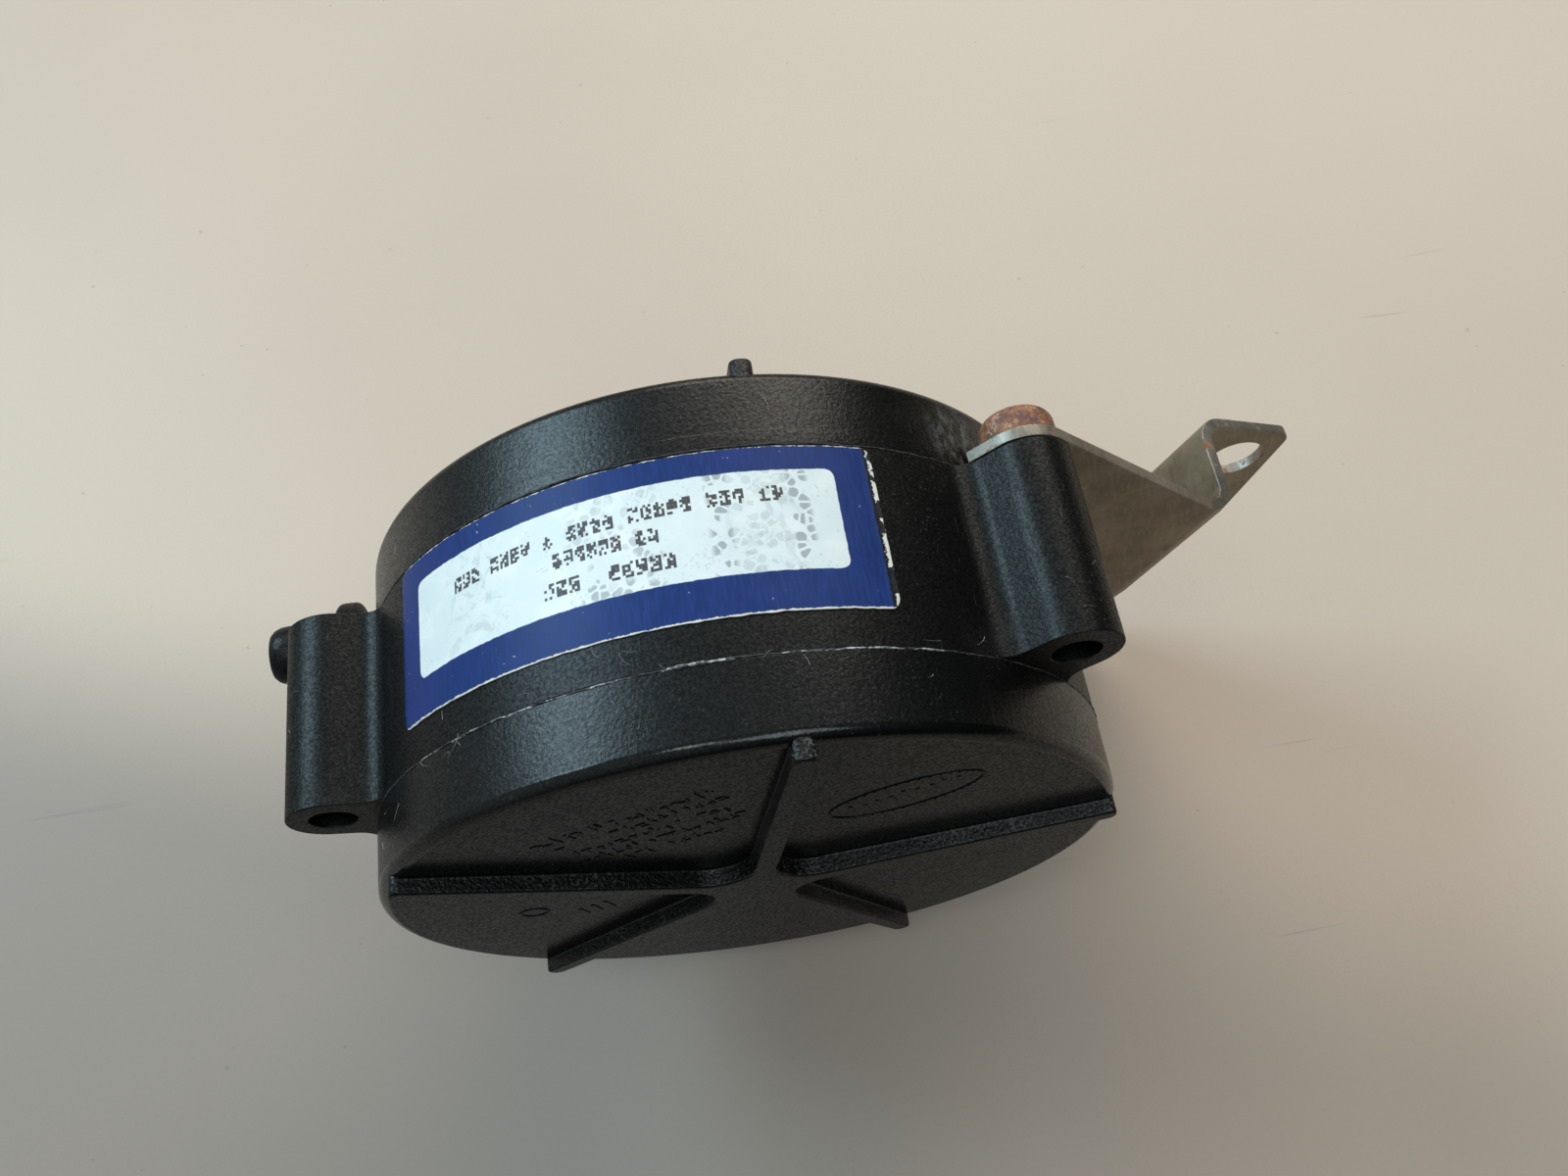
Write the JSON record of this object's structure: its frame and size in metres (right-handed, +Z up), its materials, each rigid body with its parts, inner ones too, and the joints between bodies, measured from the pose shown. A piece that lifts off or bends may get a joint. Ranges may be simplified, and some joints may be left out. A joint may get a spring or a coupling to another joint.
{
  "type": "diaphragm vacuum switch",
  "caption": "Round diaphragm-operated vacuum limit switch with ribbed plastic covers, hose nipple, tab terminals, wrapped label and a joggled steel mounting bracket.",
  "frame": {"origin": "centre of the bounding box in X and Y, at the height of its lowest points, where the lower boss and the bracket's corner stand on the table", "axes": "the housing's axis lies along Y with the ribbed front cover facing -Y; +X points from the hose nipple towards the bracket; +Z is up"},
  "size_m": [0.1392, 0.0506, 0.0989],
  "materials": {
    "black_plastic": "semi-gloss moulded black, dusty and finely scratched",
    "label_film": "blue printed film with an off-white window, rubbed and stained",
    "zinc_steel": "dull zinc plate with rust at the cut edges",
    "rusty_screw": "mottled rust over zinc",
    "silicone": "matte",
    "aluminium": "blanked and turned, satin",
    "natural_plastic": "satin",
    "bronze": "rolled phosphor bronze strip",
    "contact_silver": "silver-plated, satin",
    "brass": "turned or blanked, slightly tarnished",
    "spring_steel": "drawn wire",
    "sintered_bronze": "porous, matte"
  },
  "bodies": {
    "housing": {"front_cover": "black_plastic", "middle_housing": "black_plastic", "rear_cover": "black_plastic", "label": "label_film", "bracket": "zinc_steel", "bracket_screw_upper": "rusty_screw", "bracket_screw_lower": "rusty_screw", "diaphragm": "silicone", "fixed_blade": "bronze", "fixed_contact": "contact_silver", "common_terminal": "brass", "normally_open_terminal": "brass", "blade_rivet": "brass", "fixed_blade_rivet": "brass", "bias_spring": "spring_steel", "port_restrictor": "brass", "vent_filter": "sintered_bronze"},
    "actuator": {"diaphragm_plate": "aluminium", "diaphragm_retainer": "aluminium", "actuator_pin": "natural_plastic"},
    "contact_arm": {"moving_blade": "bronze", "moving_contact": "contact_silver"},
    "spring_rest": {"spring_seat": "brass"},
    "adjuster": {"calibration_screw": "brass"}
  },
  "joints": [
    {"name": "diaphragm_travel", "type": "slide", "parent": "housing", "child": "actuator", "axis": [0, 1, 0], "range_m": [0, 0.0012], "stiffness_N_per_m": 500, "springref_m": -0.0024, "deforming": ["diaphragm", "bias_spring"]},
    {"name": "blade_flex", "type": "hinge", "parent": "housing", "child": "contact_arm", "pos_m": [-0.03053, 0.00155, 0.03947], "axis": [-0.6088, 0, 0.7934], "range_deg": [0, 2.86]},
    {"name": "seat_travel", "type": "slide", "parent": "housing", "child": "spring_rest", "axis": [0, -1, 0], "range_m": [-0.0007, 0.0007], "deforming": ["bias_spring"]},
    {"name": "calibration_turn", "type": "hinge", "parent": "spring_rest", "child": "adjuster", "pos_m": [-0.01149, 0.01635, 0.05408], "axis": [0, -1, 0], "range_deg": [-360, 360]}
  ],
  "couplings": [
    {"joint": "blade_flex", "follows": "diaphragm_travel", "rad_per_m": 41.6},
    {"joint": "calibration_turn", "follows": "seat_travel", "rad_per_m": 8975.9}
  ]
}
